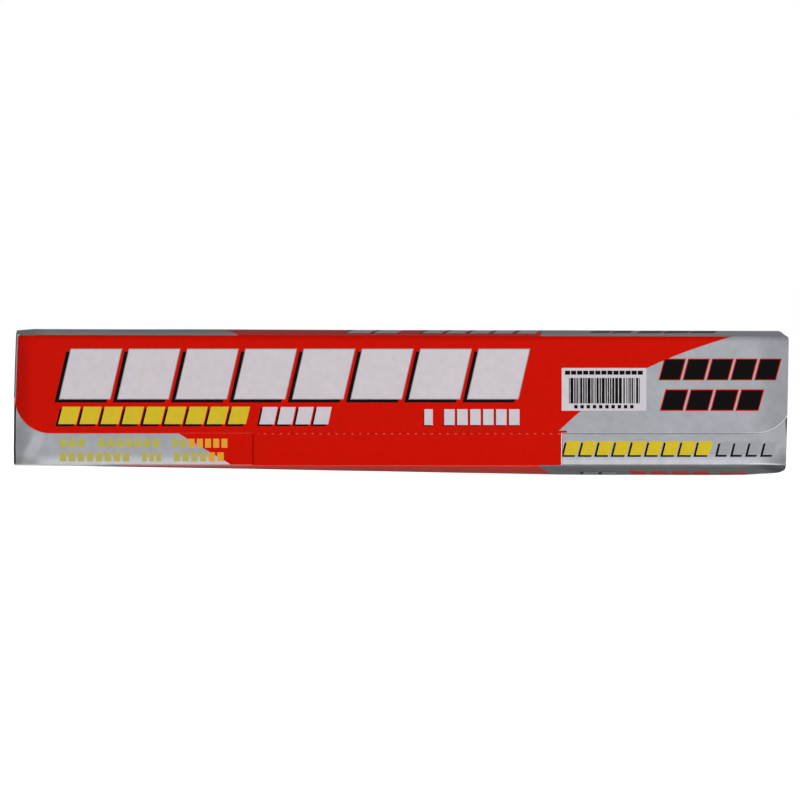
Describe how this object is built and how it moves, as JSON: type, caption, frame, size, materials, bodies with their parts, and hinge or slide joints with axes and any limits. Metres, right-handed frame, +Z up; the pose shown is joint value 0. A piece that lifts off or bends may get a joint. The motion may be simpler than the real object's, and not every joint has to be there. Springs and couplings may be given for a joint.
{
  "type": "sealed aluminium foil carton",
  "caption": "Long square cardboard carton that holds a roll of kitchen foil, with a glued lid flap over the front and a tear-off tab along a row of slots",
  "frame": {"origin": "centre of the footprint of the whole carton, at the height of the face that it rests on", "axes": "X along the carton, to the right as seen from the front; the front with the tear-off tab faces -Y; +Z up"},
  "size_m": [0.3122, 0.0536, 0.0597],
  "materials": {
    "printed_board": "thin folded board with a satin silver film, printed in red under a clear varnish"
  },
  "bodies": {
    "root": {"foil_carton": "printed_board"}
  },
  "joints": []
}
